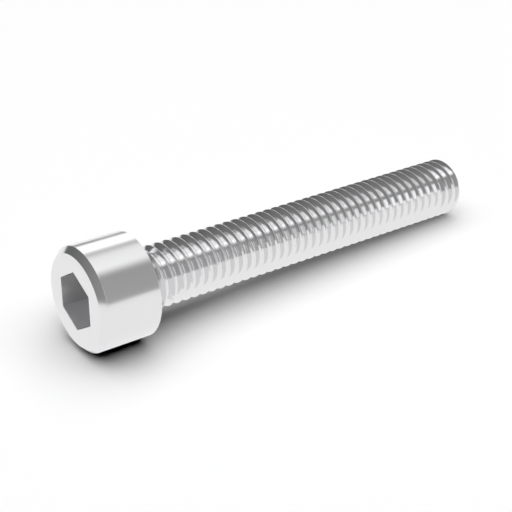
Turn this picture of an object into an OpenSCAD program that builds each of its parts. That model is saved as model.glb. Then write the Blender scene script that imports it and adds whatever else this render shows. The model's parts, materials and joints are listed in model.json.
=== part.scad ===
// Socket head cap screw: a cylindrical head with a hexagon socket, threaded up to the head.
// It lies as it comes to rest, on the back rim of its head and on the thread's crests at its tip.
// The origin is the centre of the bearing face under the head, +X runs towards the tip and +Z is up.

/* [Thread] */
// Diameter over the crests of the thread
thread_d = 6; // [5.5:0.1:6.5]
// Distance from one crest to the next
thread_pitch = 1; // [0.8:0.05:1.25]
// Angle between the two flanks of the thread
thread_angle = 60; // [55:1:65]
// Length of the screw from the bearing face under its head to its tip
screw_length = 40; // [25:1:50]
// Depth of the 45 degree chamfer at the tip
tip_chamfer = 0.65; // [0.5:0.05:0.9]
// Turns over which the thread grows to its full depth behind the neck
runout_turns = 0.5; // [0.25:0.25:1.5]
// Flat facets round one turn of the thread
thread_facets = 16; // [16:2:32]

/* [Head] */
// Diameter of the head
head_d = 10; // [9:0.25:11]
// Height of the head
head_h = 6; // [5.5:0.25:7]
// Depth of the 45 degree chamfer round the head's end face
head_chamfer = 0.57; // [0.2:0.01:0.9]
// Depth of the small bevel on the head's back rim
rim_bevel = 0.1; // [0.05:0.05:0.3]

/* [Neck] */
// Diameter of the plain neck between the head and the thread
neck_d = 5.5; // [5.45:0.05:5.6]
// Length of the neck, from the bearing face to where the thread starts
neck_length = 0.4; // [0.4:0.1:1.5]
// Radius of the fillet where the neck meets the bearing face
neck_fillet = 0.3; // [0.28:0.02:0.38]

/* [Socket] */
// Width of the socket across its flats
socket_af = 5; // [4:0.25:5.5]
// Depth of the socket's flats below the head's end face
socket_depth = 3; // [2:0.25:3.5]
// Angle of the drill point at the bottom of the socket
drill_angle = 120; // [110:1:140]

/* [Rest] */
// How far the socket's top corner lies to the left of straight up, seen from the head, as the screw lies
socket_turn = 4.4; // [0:0.2:60]
// Angle from straight down to where the thread starts, so that a flat facet of its crest lies below
thread_start = 11.25; // [11.25:22.5:348.75]

/* [Hidden] */
round_fn = 96;

head_r = head_d / 2;
thread_r = thread_d / 2;
neck_r = neck_d / 2;

// A metric thread has a flat of an eighth of its pitch on the crest and, on a screw, of a sixth in the root.
crest_flat = thread_pitch / 8;
root_flat = thread_pitch / 6;
flank_run = (thread_pitch - crest_flat - root_flat) / 2;
thread_depth = flank_run / tan(thread_angle / 2);
root_r = thread_r - thread_depth;
// Rolling moves metal from the root to the crest, so the bar that the thread is rolled on lies half way.
blank_r = thread_r - thread_depth / 2;

// The thread's surface runs past the tip by a turn, and the tip's chamfer and face cut it off.
thread_from = neck_length + root_flat / 2;
thread_turns = ceil((screw_length - thread_from) / thread_pitch) + 1;
last_step = thread_turns * thread_facets;
PROFILE = 4;

// At rest the head's back rim and the last crest before the tip's chamfer touch the surface below the screw.
// A crest's side towards the tip touches it, on a facet, which lies nearer to the axis than the crest's corners.
facet_r = thread_r * cos(180 / thread_facets);
first_crest = thread_from + (thread_pitch + crest_flat) / 2 - thread_pitch * thread_start / 360;
last_crest = first_crest + thread_pitch * floor((screw_length - tip_chamfer - first_crest) / thread_pitch);
rest_tilt = atan2(head_r - facet_r, last_crest + rim_bevel);

// Share of the full thread form at a step round the helix
function grown(step) = max(0, min(1, step / (runout_turns * thread_facets)));
function crest_at(step) = blank_r + grown(step) * (thread_r - blank_r);
function root_at(step) = blank_r + grown(step) * (root_r - blank_r);

// The four corners of the groove at one step: crest, root, root, and the crest that the next turn shares
function groove_section(step) =
    let (z = thread_from + thread_pitch * step / thread_facets)
    [[crest_at(step - thread_facets), z - root_flat / 2 - flank_run],
     [root_at(step), z - root_flat / 2],
     [root_at(step), z + root_flat / 2],
     [crest_at(step), z + root_flat / 2 + flank_run]];

function on_helix(step, rz) =
    let (turned = 360 * step / thread_facets)
    [rz[0] * cos(turned), rz[0] * sin(turned), rz[1]];

// One right-hand groove wound round the screw's axis, with the crest between its turns, closed by a fan at each end
module thread_helix() {
    corners = [for (step = [0:last_step]) for (rz = groove_section(step)) on_helix(step, rz)];
    foot = len(corners);
    top = foot + 1;
    ends = [[0, 0, thread_from + crest_flat / 2],
            [0, 0, thread_from + thread_pitch * thread_turns - crest_flat / 2]];
    function at(step, corner) = step * PROFILE + corner;
    groove = [for (step = [0:last_step - 1]) for (k = [0:PROFILE - 2]) for (half = [0, 1])
        half == 0 ? [at(step, k), at(step + 1, k + 1), at(step + 1, k)]
                  : [at(step, k), at(step, k + 1), at(step + 1, k + 1)]];
    crest = [for (step = [0:last_step - thread_facets - 1]) for (half = [0, 1])
        let (above = step + thread_facets)
        half == 0 ? [at(step, PROFILE - 1), at(above + 1, 0), at(step + 1, PROFILE - 1)]
                  : [at(step, PROFILE - 1), at(above, 0), at(above + 1, 0)]];
    foot_rim = concat([for (step = [0:thread_facets]) at(step, 0)],
                      [for (k = [PROFILE - 1:-1:0]) at(0, k)]);
    top_rim = concat([for (step = [last_step - thread_facets:last_step]) at(step, PROFILE - 1)],
                     [for (k = [PROFILE - 2:-1:0]) at(last_step, k)],
                     [at(last_step - thread_facets, PROFILE - 1)]);
    foot_fan = [for (k = [0:len(foot_rim) - 2]) [foot, foot_rim[k], foot_rim[k + 1]]];
    top_fan = [for (k = [0:len(top_rim) - 2]) [top, top_rim[k + 1], top_rim[k]]];
    polyhedron(concat(corners, ends), concat(groove, crest, foot_fan, top_fan), convexity = 10);
}

// The screw's tip: everything outside this chamfered bar is cut off the thread.
module tip_envelope() {
    outside_r = thread_r + tip_chamfer;
    rotate_extrude($fn = round_fn)
        polygon([[0, 0], [outside_r, 0], [outside_r, screw_length - 2 * tip_chamfer],
                 [thread_r - tip_chamfer, screw_length], [0, screw_length]]);
}

// Head and neck, turned about the screw's axis
module head_blank() {
    fillet_steps = 8;
    rotate_extrude($fn = round_fn)
        polygon(concat(
            [[0, -head_h], [head_r - head_chamfer, -head_h], [head_r, head_chamfer - head_h],
             [head_r, -rim_bevel], [head_r - rim_bevel, 0]],
            [for (k = [0:fillet_steps]) let (turned = 90 * k / fillet_steps)
                [neck_r + neck_fillet * (1 - sin(turned)), neck_fillet * (1 - cos(turned))]],
            [[neck_r, neck_length], [root_r, neck_length + neck_r - root_r], [0, neck_length + neck_r - root_r]]));
}

// Hexagon socket with the cone that its pilot drill left
module socket() {
    mouth_clearance = 1;
    translate([0, 0, -head_h - mouth_clearance])
        cylinder(d = socket_af / cos(30), h = socket_depth + mouth_clearance, $fn = 6);
    translate([0, 0, socket_depth - head_h])
        cylinder(d1 = socket_af, d2 = 0, h = socket_af / 2 / tan(drill_angle / 2), $fn = round_fn);
}

// The whole screw, upright on its axis, with the tip at +Z and the side that it lies on at +X
module screw_upright() {
    difference() {
        union() {
            rotate([0, 0, 180]) head_blank();
            rotate([0, 0, thread_start]) intersection() {
                thread_helix();
                tip_envelope();
            }
        }
        rotate([0, 0, -socket_turn]) socket();
    }
}

module cap_screw() {
    color("gainsboro") rotate([0, 90 + rest_tilt, 0]) screw_upright();
}

cap_screw();
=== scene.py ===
"""Looks of a socket head cap screw: bright steel, turned head and rolled thread, on white paper."""

import json
import math

import bmesh
import bpy
import numpy as np
from mathutils import Matrix, Vector


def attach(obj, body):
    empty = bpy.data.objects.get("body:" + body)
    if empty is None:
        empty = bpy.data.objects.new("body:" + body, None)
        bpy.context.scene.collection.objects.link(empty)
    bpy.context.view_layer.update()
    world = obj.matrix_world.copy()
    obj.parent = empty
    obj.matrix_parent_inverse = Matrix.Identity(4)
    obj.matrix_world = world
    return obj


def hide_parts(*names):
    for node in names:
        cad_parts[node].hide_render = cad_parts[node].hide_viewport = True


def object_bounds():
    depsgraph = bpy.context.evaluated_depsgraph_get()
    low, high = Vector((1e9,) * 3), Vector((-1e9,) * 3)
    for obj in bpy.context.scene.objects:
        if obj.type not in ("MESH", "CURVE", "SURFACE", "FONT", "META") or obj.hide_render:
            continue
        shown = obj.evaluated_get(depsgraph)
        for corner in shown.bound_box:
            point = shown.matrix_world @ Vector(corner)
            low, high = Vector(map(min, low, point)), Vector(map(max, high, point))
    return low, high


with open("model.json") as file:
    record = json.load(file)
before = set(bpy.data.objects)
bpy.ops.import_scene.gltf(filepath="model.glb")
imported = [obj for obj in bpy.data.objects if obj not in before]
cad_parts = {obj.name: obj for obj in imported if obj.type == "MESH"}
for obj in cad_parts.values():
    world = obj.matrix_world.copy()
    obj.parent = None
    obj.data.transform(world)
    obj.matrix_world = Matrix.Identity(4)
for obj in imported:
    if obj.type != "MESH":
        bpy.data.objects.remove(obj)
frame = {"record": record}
cad_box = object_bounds()

MM = 0.001
mounts = {mount["name"]: mount for mount in frame["record"]["mounts"]}

# The screw's axis and its driving sizes come from the frame. Sizes are in millimetres, and places along the
# axis are counted from the bearing face towards the tip.
TO_TIP = Vector(mounts["bearing_face"]["axis"]).normalized()
SCREW_LENGTH = Vector(mounts["thread"]["pos_m"]).length / MM
HEAD_HEIGHT = Vector(mounts["socket"]["pos_m"]).length / MM
HEAD_RADIUS = mounts["head_side"]["dims"]["r_mm"]
THREAD_RADIUS = mounts["thread"]["dims"]["r_mm"]
SOCKET_DEPTH = mounts["socket"]["dims"]["length_mm"]

PITCH = 1.0
# As in the source: a crest flat of an eighth of the pitch, a root flat of a sixth, and 60 degree flanks
SOURCE_ROOT_FLAT = PITCH / 6
FLANK_RUN = (PITCH - PITCH / 8 - SOURCE_ROOT_FLAT) / 2
THREAD_DEPTH = FLANK_RUN * math.sqrt(3)
# A finer crest than the nominal eighth of the pitch, as the photo's crests show hardly any flat
CREST_FLAT = PITCH / 16
ROOT_FLAT = PITCH - CREST_FLAT - 2 * FLANK_RUN
CREST_ROUNDING = 0.05
ROOT_ROUNDING = 0.09
# Degrees round the axis from straight down to where the thread starts
THREAD_START = 11.25
# Longest step of the thread's profile near the tip, where the chamfer cuts it
FINE_STEP = 0.03
TIP_CHAMFER = 0.65
TIP_RADIUS = THREAD_RADIUS - TIP_CHAMFER

NECK_RADIUS = 2.75
NECK_LENGTH = 0.4
NECK_FILLET = 0.3
# Middle of the first groove along the axis, and the turns over which the thread grows to its full depth
FIRST_GROOVE = NECK_LENGTH + SOURCE_ROOT_FLAT / 2
RUNOUT_TURNS = 0.5

FACE_CHAMFER = 0.57
RIM_BEVEL = 0.1
EDGE_ROUNDING = 0.06
SOCKET_ACROSS_FLATS = 5.0
SOCKET_EDGE_ROUNDING = 0.03
# Degrees from straight up to the socket's top corner
SOCKET_TURN = 4.4
DRILL_POINT_ANGLE = 120.0

# Columns round the axis: a multiple of six, so that each corner of the socket has its own
COLUMNS = 96
# Points nearer to each other than this are one
WELD = 0.0004
# Edges that turn by more than this many degrees stay sharp
SHARP_EDGE = 35


def corner_arc(before, corner, after, radius, steps):
    """Points of the rounding that replaces a corner of an outline."""
    before, corner, after = Vector(before), Vector(corner), Vector(after)
    into, out = (before - corner).normalized(), (after - corner).normalized()
    half_angle = into.angle(out) / 2
    centre = corner + (into + out).normalized() * radius / math.sin(half_angle)
    start = corner + into * radius / math.tan(half_angle) - centre
    sweep = math.pi - 2 * half_angle
    if start.cross(into) > 0:
        sweep = -sweep
    return [tuple(centre + Matrix.Rotation(sweep * k / steps, 2) @ start) for k in range(steps + 1)]


def spun(outline):
    """Rows of points round the axis for an outline of (radius, place). A radius may follow the angle."""
    angles = 2 * math.pi * np.arange(COLUMNS) / COLUMNS
    grid = np.empty((len(outline), COLUMNS, 3))
    for row, (radius, axial) in enumerate(outline):
        radius = np.array([radius(a) if callable(radius) else radius for a in angles])
        places = np.full(COLUMNS, axial)
        grid[row] = np.stack([radius * np.cos(angles), radius * np.sin(angles), places], axis=-1)
    return grid


def hexagon(across_flats):
    """Distance from the axis to a hexagon's side, with a corner at angle zero."""
    sixth = math.pi / 3
    return lambda angle: across_flats / 2 / math.cos(angle % sixth - sixth / 2)


def head_outline():
    """From the neck, over the head and down into the socket, to the drill point on the axis."""
    top = -HEAD_HEIGHT
    fillet = [(NECK_RADIUS + NECK_FILLET * (1 - math.sin(t)), NECK_FILLET * (1 - math.cos(t)))
              for t in np.radians(np.linspace(90, 0, 9))]
    rim_inner, rim_outer = (HEAD_RADIUS - RIM_BEVEL, 0), (HEAD_RADIUS, -RIM_BEVEL)
    chamfer_outer = (HEAD_RADIUS, top + FACE_CHAMFER)
    chamfer_inner = (HEAD_RADIUS - FACE_CHAMFER, top)
    small = RIM_BEVEL / 3
    turned = (
        [(NECK_RADIUS, NECK_LENGTH)] + fillet
        + corner_arc(fillet[-1], rim_inner, rim_outer, small, 3)
        + corner_arc(rim_inner, rim_outer, chamfer_outer, small, 3)
        + corner_arc(rim_outer, chamfer_outer, chamfer_inner, EDGE_ROUNDING, 4)
        + corner_arc(chamfer_outer, chamfer_inner, (0, top), EDGE_ROUNDING, 4)
    )
    mouth = [
        (hexagon(SOCKET_ACROSS_FLATS + 2 * SOCKET_EDGE_ROUNDING * (1 - math.sin(t))),
         top + SOCKET_EDGE_ROUNDING * (1 - math.cos(t)))
        for t in np.radians(np.linspace(0, 90, 5))
    ]
    floor = top + SOCKET_DEPTH
    drill_radius = SOCKET_ACROSS_FLATS / 2
    drill_depth = drill_radius / math.tan(math.radians(DRILL_POINT_ANGLE / 2))
    bottom = [(hexagon(SOCKET_ACROSS_FLATS), floor), (drill_radius, floor), (0, floor + drill_depth)]
    return turned + mouth + bottom


def thread_profile():
    """One pitch of the thread, crest to crest, as (place, depth) with its crest and root corners rounded."""
    crest_edge, root_edge = (CREST_FLAT / 2, 0), ((PITCH - ROOT_FLAT) / 2, THREAD_DEPTH)
    crest = corner_arc((0, 0), crest_edge, root_edge, CREST_ROUNDING, 4)
    root = corner_arc(crest_edge, root_edge, (PITCH / 2, THREAD_DEPTH), ROOT_ROUNDING, 3)
    mirrored = [(PITCH - place, depth) for place, depth in reversed(crest + root)]
    return np.array(crest + root + mirrored)


def finer(profile):
    """The same profile in short steps."""
    fine = []
    for start, end in zip(profile, profile[1:]):
        steps = max(1, round(abs(end[0] - start[0]) / FINE_STEP))
        fine.extend(start + (end - start) * k / steps for k in range(steps))
    return np.array(fine + [profile[-1]])


def thread_grid():
    """The thread as rows along its helix, between the neck and the chamfered tip."""
    profile = thread_profile()
    fine = finer(profile)
    first_groove = FIRST_GROOVE - PITCH * (SOCKET_TURN + THREAD_START) / 360
    turns = math.ceil((SCREW_LENGTH - first_groove) / PITCH) + 1
    places, depths, groove_of = [], [], []
    for turn in range(-2, turns):
        groove = first_groove + PITCH * turn
        shape = fine if groove > SCREW_LENGTH - TIP_CHAMFER - 3 * PITCH else profile
        places.extend(groove - PITCH / 2 + shape[:, 0])
        depths.extend(shape[:, 1])
        groove_of.extend([groove] * len(shape))
    places, depths, groove_of = np.array(places), np.array(depths), np.array(groove_of)
    lower = places < groove_of
    blank = THREAD_RADIUS - THREAD_DEPTH / 2

    def grown(turns_in, full):
        return blank + np.clip(turns_in / RUNOUT_TURNS, 0, 1) * (full - blank)

    grid = np.empty((len(places), COLUMNS + 1, 3))
    for column in range(COLUMNS + 1):
        turned = column / COLUMNS
        angle = 2 * math.pi * turned
        axial = places + PITCH * turned
        turns_in = (groove_of + PITCH * turned - FIRST_GROOVE) / PITCH
        crest = grown(turns_in - lower, THREAD_RADIUS)
        root = grown(turns_in, THREAD_RADIUS - THREAD_DEPTH)
        radius = crest + depths / THREAD_DEPTH * (root - crest)
        over = radius - (TIP_RADIUS + SCREW_LENGTH - axial)
        for k in np.nonzero(over[:-1] * over[1:] < 0)[0]:
            share = over[k] / (over[k] - over[k + 1])
            nearer = k if share < 0.5 else k + 1
            axial[nearer] = axial[k] + share * (axial[k + 1] - axial[k])
            radius[nearer] = TIP_RADIUS + SCREW_LENGTH - axial[nearer]
        radius = np.minimum(radius, TIP_RADIUS + np.maximum(SCREW_LENGTH - axial, 0))
        below = axial <= NECK_LENGTH
        axial[below], radius[below] = NECK_LENGTH, NECK_RADIUS
        beyond = axial >= SCREW_LENGTH
        axial[beyond], radius[beyond] = SCREW_LENGTH, TIP_RADIUS
        grid[:, column] = np.stack([radius * math.cos(angle), radius * math.sin(angle), axial], axis=-1)
    return grid


def grid_faces(rows, columns, offset, closed):
    """Quads between neighbouring rows and columns of a grid of points."""
    faces = []
    for row in range(rows - 1):
        for column in range(columns if closed else columns - 1):
            following = (column + 1) % columns
            faces.append((offset + row * columns + column, offset + row * columns + following,
                          offset + (row + 1) * columns + following, offset + (row + 1) * columns + column))
    return faces


def screw_mesh():
    """Head, thread and tip as one welded surface, upright on the axis."""
    head = spun(head_outline())
    thread = thread_grid()
    tip = spun([(TIP_RADIUS, SCREW_LENGTH), (0, SCREW_LENGTH)])
    points, faces = [], []
    for grid, closed, flip in ((head, True, True), (thread, False, False), (tip, True, False)):
        rows, columns = grid.shape[:2]
        new = grid_faces(rows, columns, len(points), closed)
        faces.extend([face[::-1] for face in new] if flip else new)
        points.extend(grid.reshape(-1, 3))
    mesh = bpy.data.meshes.new("cap_screw_steel")
    mesh.from_pydata([tuple(p) for p in points], [], faces)
    built = bmesh.new()
    built.from_mesh(mesh)
    bmesh.ops.remove_doubles(built, verts=built.verts, dist=WELD)
    bmesh.ops.dissolve_degenerate(built, dist=WELD / 2, edges=built.edges)
    bmesh.ops.recalc_face_normals(built, faces=built.faces)
    built.to_mesh(mesh)
    built.free()
    return mesh


def as_it_lies():
    """From the upright screw in millimetres to the frame: onto its axis, with the socket turned as there."""
    side = Vector((0, 1, 0))
    down = side.cross(TO_TIP)
    lying = Matrix((down, side, TO_TIP)).transposed().to_4x4()
    return Matrix.Scale(MM, 4) @ lying @ Matrix.Rotation(math.radians(-SOCKET_TURN), 4, "Z")


mesh = screw_mesh()
mesh.transform(as_it_lies())
mesh.polygons.foreach_set("use_smooth", [True] * len(mesh.polygons))
mesh.set_sharp_from_angle(angle=math.radians(SHARP_EDGE))
screw = bpy.data.objects.new("cap_screw_steel", mesh)
bpy.context.scene.collection.objects.link(screw)
weighted = screw.modifiers.new("flat_flanks", "WEIGHTED_NORMAL")
weighted.keep_sharp = True
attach(screw, "root")
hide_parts("cap_screw")


def linear(hex_colour):
    """An sRGB hex colour as the linear values that the shader takes."""
    channels = [int(hex_colour[k:k + 2], 16) / 255 for k in (1, 3, 5)]
    return [c / 12.92 if c <= 0.04045 else ((c + 0.055) / 1.055) ** 2.4 for c in channels] + [1]


def add(tree, kind, inputs=None, **settings):
    """A node with its settings, each input a constant or another node's output."""
    node = tree.nodes.new(kind)
    for name, value in settings.items():
        setattr(node, name, value)
    for name, value in (inputs or {}).items():
        if isinstance(value, bpy.types.NodeSocket):
            tree.links.new(value, node.inputs[name])
        else:
            node.inputs[name].default_value = value
    return node


def number(tree, operation, *values):
    """One step of arithmetic in a node tree."""
    return add(tree, "ShaderNodeMath", dict(enumerate(values)), operation=operation).outputs[0]


def fade(tree, value, start, end, low=0.0, high=1.0):
    """A smooth passage from low to high while the value goes from start to end."""
    limits = {"Value": value, "From Min": start, "From Max": end, "To Min": low, "To Max": high}
    return add(tree, "ShaderNodeMapRange", limits, interpolation_type="SMOOTHSTEP").outputs[0]


# Sizes of the steel's patterns: its grain, the clouds in its satin finish, and one turning mark to the next.
# The grain is far coarser than real steel's, so that it shows at all.
GRAIN = 1.11
CLOUD = 6.25
TURNING_MARK = 0.1047
MARK_DEPTH = 0.02
# Roughness of the satin finish from cloud to cloud, what rolling takes off it and what broaching adds to it
SATIN = (0.17, 0.21)
ROLLED = 0.06
BROACHED = 0.28


def turned_and_rolled_steel():
    """Bright steel: satin from the lathe, burnished by rolling in the thread, dull in the broached socket."""
    steel = bpy.data.materials.new("turned_and_rolled_steel")
    steel.use_nodes = True
    tree = steel.node_tree
    shader = tree.nodes["Principled BSDF"]
    shader.inputs["Base Color"].default_value = linear("#E6E6E7")
    shader.inputs["Metallic"].default_value = 1
    place = add(tree, "ShaderNodeTexCoord").outputs["Object"]
    along = add(tree, "ShaderNodeVectorMath", {0: place, 1: TO_TIP}, operation="DOT_PRODUCT").outputs["Value"]
    on_axis = add(tree, "ShaderNodeVectorMath", {0: TO_TIP, "Scale": along}, operation="SCALE").outputs[0]
    off_axis = add(tree, "ShaderNodeVectorMath", {0: place, 1: on_axis}, operation="DISTANCE")
    grain = add(tree, "ShaderNodeTexNoise", {"Vector": place, "Scale": 1 / GRAIN / MM, "Detail": 4})
    cloud = add(tree, "ShaderNodeTexNoise", {"Vector": place, "Scale": 1 / CLOUD / MM, "Detail": 2})

    in_thread = fade(tree, along, NECK_LENGTH / 2 * MM, 1.5 * NECK_LENGTH * MM)
    corner_radius = SOCKET_ACROSS_FLATS / math.sqrt(3) - SOCKET_EDGE_ROUNDING / 2
    within_corners = number(tree, "LESS_THAN", off_axis.outputs["Value"], corner_radius * MM)
    below_mouth = number(tree, "GREATER_THAN", along, (SOCKET_EDGE_ROUNDING - HEAD_HEIGHT) * MM)
    in_head = number(tree, "MULTIPLY", below_mouth, number(tree, "LESS_THAN", along, 0.0))
    in_socket = number(tree, "MULTIPLY", within_corners, in_head)
    satin = fade(tree, cloud.outputs["Fac"], 0.3, 0.7, *SATIN)
    burnished = number(tree, "SUBTRACT", satin, number(tree, "MULTIPLY", in_thread, ROLLED))
    rough = number(tree, "ADD", burnished, number(tree, "MULTIPLY", in_socket, BROACHED))
    tree.links.new(rough, shader.inputs["Roughness"])

    turning = number(tree, "SINE", number(tree, "MULTIPLY", along, 2 * math.pi / TURNING_MARK / MM))
    marks = number(tree, "ADD", number(tree, "MULTIPLY", grain.outputs["Fac"], 0.5), turning)
    bump = add(tree, "ShaderNodeBump", {"Height": marks, "Strength": 0.02, "Distance": MARK_DEPTH * MM})
    tree.links.new(bump.outputs[0], shader.inputs["Normal"])
    return steel


screw.data.materials.append(turned_and_rolled_steel())


# The shadow under the head that the steel shows: its middle along X, and where it ends along X and Y
SHADOW_MIDDLE = -2.7
SHADOW_END_X = (2.2, 3.6)
SHADOW_END_Y = (0.9, 2.5)
# Painted light in the thread's shadow: the share of white glow that the camera sees on the paper, and how far
# from the bearing face it is reached
PAINTED_LIGHT_IN_SHADOW = 0.14
PAINTED_LIGHT_FROM = 12


def white_paper():
    """White seamless paper: matt, it keeps the screw's shadow, and steel shows it as plain white. Along the
    thread the shadow is lightened by painted light.
    """
    paper = bpy.data.materials.new("white_paper")
    paper.use_nodes = True
    tree = paper.node_tree
    matt = tree.nodes["Principled BSDF"]
    matt.inputs["Base Color"].default_value = linear("#F6F6F6")
    matt.inputs["Roughness"].default_value = 1
    matt.inputs["Specular IOR Level"].default_value = 0
    ray = add(tree, "ShaderNodeLightPath")
    direct = number(tree, "LESS_THAN", ray.outputs["Diffuse Depth"], 0.5)
    glow = add(tree, "ShaderNodeEmission", {"Strength": direct})
    spot = add(tree, "ShaderNodeNewGeometry").outputs["Position"]
    distance = add(tree, "ShaderNodeVectorMath", {0: spot}, operation="LENGTH").outputs["Value"]
    spot = add(tree, "ShaderNodeSeparateXYZ", {0: spot})

    # In the steel the paper is white, apart from the shadow right under the head
    from_middle = number(tree, "ABSOLUTE", number(tree, "SUBTRACT", spot.outputs["X"], SHADOW_MIDDLE * MM))
    aside = number(tree, "ABSOLUTE", spot.outputs["Y"])
    ends = [fade(tree, away, start * MM, end * MM, 1.0, 0.0)
            for away, (start, end) in ((from_middle, SHADOW_END_X), (aside, SHADOW_END_Y))]
    under_head = number(tree, "MULTIPLY", *ends)
    bright = number(tree, "SUBTRACT", 1.0, under_head)
    in_steel = number(tree, "MULTIPLY", ray.outputs["Is Glossy Ray"], bright)

    # Painted light: along the thread the camera sees the paper partly as white glow, which lightens its
    # shadow
    # in place of light that the thread throws back, which the render would leave out. Far off all is white
    painted_light_in_shadow = fade(tree, spot.outputs["X"], 0.0, PAINTED_LIGHT_FROM * MM, 0.0, PAINTED_LIGHT_IN_SHADOW)
    far = fade(tree, distance, 0.12, 0.35)
    seen = number(tree, "MULTIPLY", ray.outputs["Is Camera Ray"], number(tree, "MAXIMUM", far, painted_light_in_shadow))

    white = number(tree, "MAXIMUM", in_steel, seen)
    white = number(tree, "MAXIMUM", white, ray.outputs["Is Transmission Ray"])
    surface = add(tree, "ShaderNodeMixShader", {0: white, 1: matt.outputs[0], 2: glow.outputs[0]})
    tree.links.new(surface.outputs[0], tree.nodes["Material Output"].inputs[0])
    return paper


FLOOR_SIZE = 6
bpy.ops.mesh.primitive_plane_add(size=FLOOR_SIZE, location=(0, 0, cad_box[0][2]))
floor = bpy.context.object
floor.name = "studio_floor"
floor.data.materials.append(white_paper())


def towards(azimuth, elevation):
    """The direction with this azimuth from +X towards +Y and this elevation, in degrees."""
    az, el = math.radians(azimuth), math.radians(elevation)
    return Vector((math.cos(el) * math.cos(az), math.cos(el) * math.sin(az), math.sin(el)))


def softbox_glow(tree, direction, aim, half_width, half_height, edge, level):
    """What the studio's reflections show of a softbox: a rectangle with soft edges, far away."""
    right = Vector((0, 0, 1)).cross(aim).normalized()
    up = aim.cross(right)

    def part(axis):
        dot = add(tree, "ShaderNodeVectorMath", {0: direction, 1: axis}, operation="DOT_PRODUCT")
        return dot.outputs["Value"]

    ahead = number(tree, "MAXIMUM", part(aim), 0.001)
    shares = []
    for axis, half in ((right, half_width), (up, half_height)):
        offset = number(tree, "ABSOLUTE", number(tree, "DIVIDE", part(axis), ahead))
        shares.append(fade(tree, offset, half - edge, half + edge, 1.0, 0.0))
    return number(tree, "MULTIPLY", number(tree, "MULTIPLY", *shares), level)


# The softboxes that the steel shows. For each: its azimuth and elevation in degrees, half its width, half its
# height and half the width of its soft edge, in metres as if it stood one metre away, and its level. Their
# names say where they stand as the camera sees it.
SOFTBOXES = {
    "behind, low": (57, 25, 0.2, 0.26, 0.13, 1.25),
    "beyond the tip, high": (12, 66, 0.38, 0.48, 0.2, 0.72),
    "overhead": (20, 88, 0.45, 0.33, 0.14, 0.35),
    "behind, half way up": (75, 47, 0.27, 0.26, 0.12, 0.7),
    "in front, tall and narrow, for glints from flank to flank": (-92, 28, 0.16, 0.37, 0.06, 1.15),
    "in front, high": (-62, 68, 0.16, 0.14, 0.08, 0.7),
    "beyond the tip, low": (-5, 12, 0.3, 0.16, 0.08, 0.5),
}


# Grey of the studio's walls, and how much lighter they are in front
WALLS = 0.27
WALLS_IN_FRONT = 0.14


def studio():
    """The room that the steel shows: white low down, grey walls that are lightest in front, and softboxes."""
    world = bpy.data.worlds.new("studio")
    world.use_nodes = True
    tree = world.node_tree
    direction = add(tree, "ShaderNodeTexCoord").outputs["Generated"]
    height = add(tree, "ShaderNodeSeparateXYZ", {0: direction}).outputs["Z"]

    def facing(aim):
        dot = add(tree, "ShaderNodeVectorMath", {0: direction, 1: aim}, operation="DOT_PRODUCT")
        return dot.outputs["Value"]

    walls = number(tree, "ADD", WALLS, number(tree, "MULTIPLY", facing(towards(-75, 20)), WALLS_IN_FRONT))
    horizon = number(tree, "ADD", height, number(tree, "MULTIPLY", facing(towards(100, 0)), 0.05))
    low = fade(tree, horizon, 0.02, 0.06, 1.0, 0.0)
    lit = 0.0
    for azimuth, elevation, *shape in SOFTBOXES.values():
        lit = number(tree, "ADD", lit, softbox_glow(tree, direction, towards(azimuth, elevation), *shape))
    room = number(tree, "ADD", number(tree, "MAXIMUM", walls, low), lit)

    # The paper gets light by way of the steel from overhead alone, and the camera sees plain white
    ray = add(tree, "ShaderNodeLightPath")
    from_paper = number(tree, "GREATER_THAN", ray.outputs["Diffuse Depth"], 0.5)
    overhead = fade(tree, height, 0.65, 0.8, 0.0, 2.4)
    room = add(tree, "ShaderNodeMix", {"Factor": from_paper, "A": room, "B": overhead}, data_type="FLOAT")
    by_ray = {"Factor": ray.outputs["Is Camera Ray"], "A": room.outputs[0], "B": 1.0}
    shown = add(tree, "ShaderNodeMix", by_ray, data_type="FLOAT")
    tree.links.new(shown.outputs[0], tree.nodes["Background"].inputs["Color"])
    world.cycles_visibility.diffuse = False
    return world


bpy.context.scene.world = studio()


# The point on the screw that the lamp looks at, and the lamp's distance from it in metres
LAMP_TARGET = Vector((12, 0, 0)) * MM
LAMP_DISTANCE = 1.5


def overhead_softbox(aim, side, energy):
    """The one lamp: it lights the paper, and what steel shows of the softboxes is in the studio around."""
    light = bpy.data.lights.new("overhead_softbox", "AREA")
    light.shape = "RECTANGLE"
    light.size, light.size_y = side, side
    light.energy = energy
    lamp = bpy.data.objects.new("overhead_softbox", light)
    lamp.location = LAMP_TARGET + aim * LAMP_DISTANCE
    lamp.rotation_euler = aim.to_track_quat("Z", "Y").to_euler()
    lamp.visible_glossy = False
    bpy.context.scene.collection.objects.link(lamp)


overhead_softbox(towards(-90, 88), side=2.6, energy=47.5)

# The camera of the photo, fitted to the screw's outlines: where it stands and which way it looks
CAMERA_PLACE = Vector((-47.282, -81.458, 57.489)) * MM
CAMERA_AIM = Vector((0.519902, 0.689586, -0.504155))
camera_data = bpy.data.cameras.new("camera")
camera_data.sensor_width = 36
camera_data.lens = 84.214
camera_data.clip_start = 0.01
camera = bpy.data.objects.new("camera", camera_data)
camera.location = CAMERA_PLACE
camera.rotation_euler = CAMERA_AIM.to_track_quat("-Z", "Y").to_euler()
bpy.context.scene.collection.objects.link(camera)
bpy.context.scene.camera = camera

bpy.context.scene.view_settings.view_transform = "Standard"
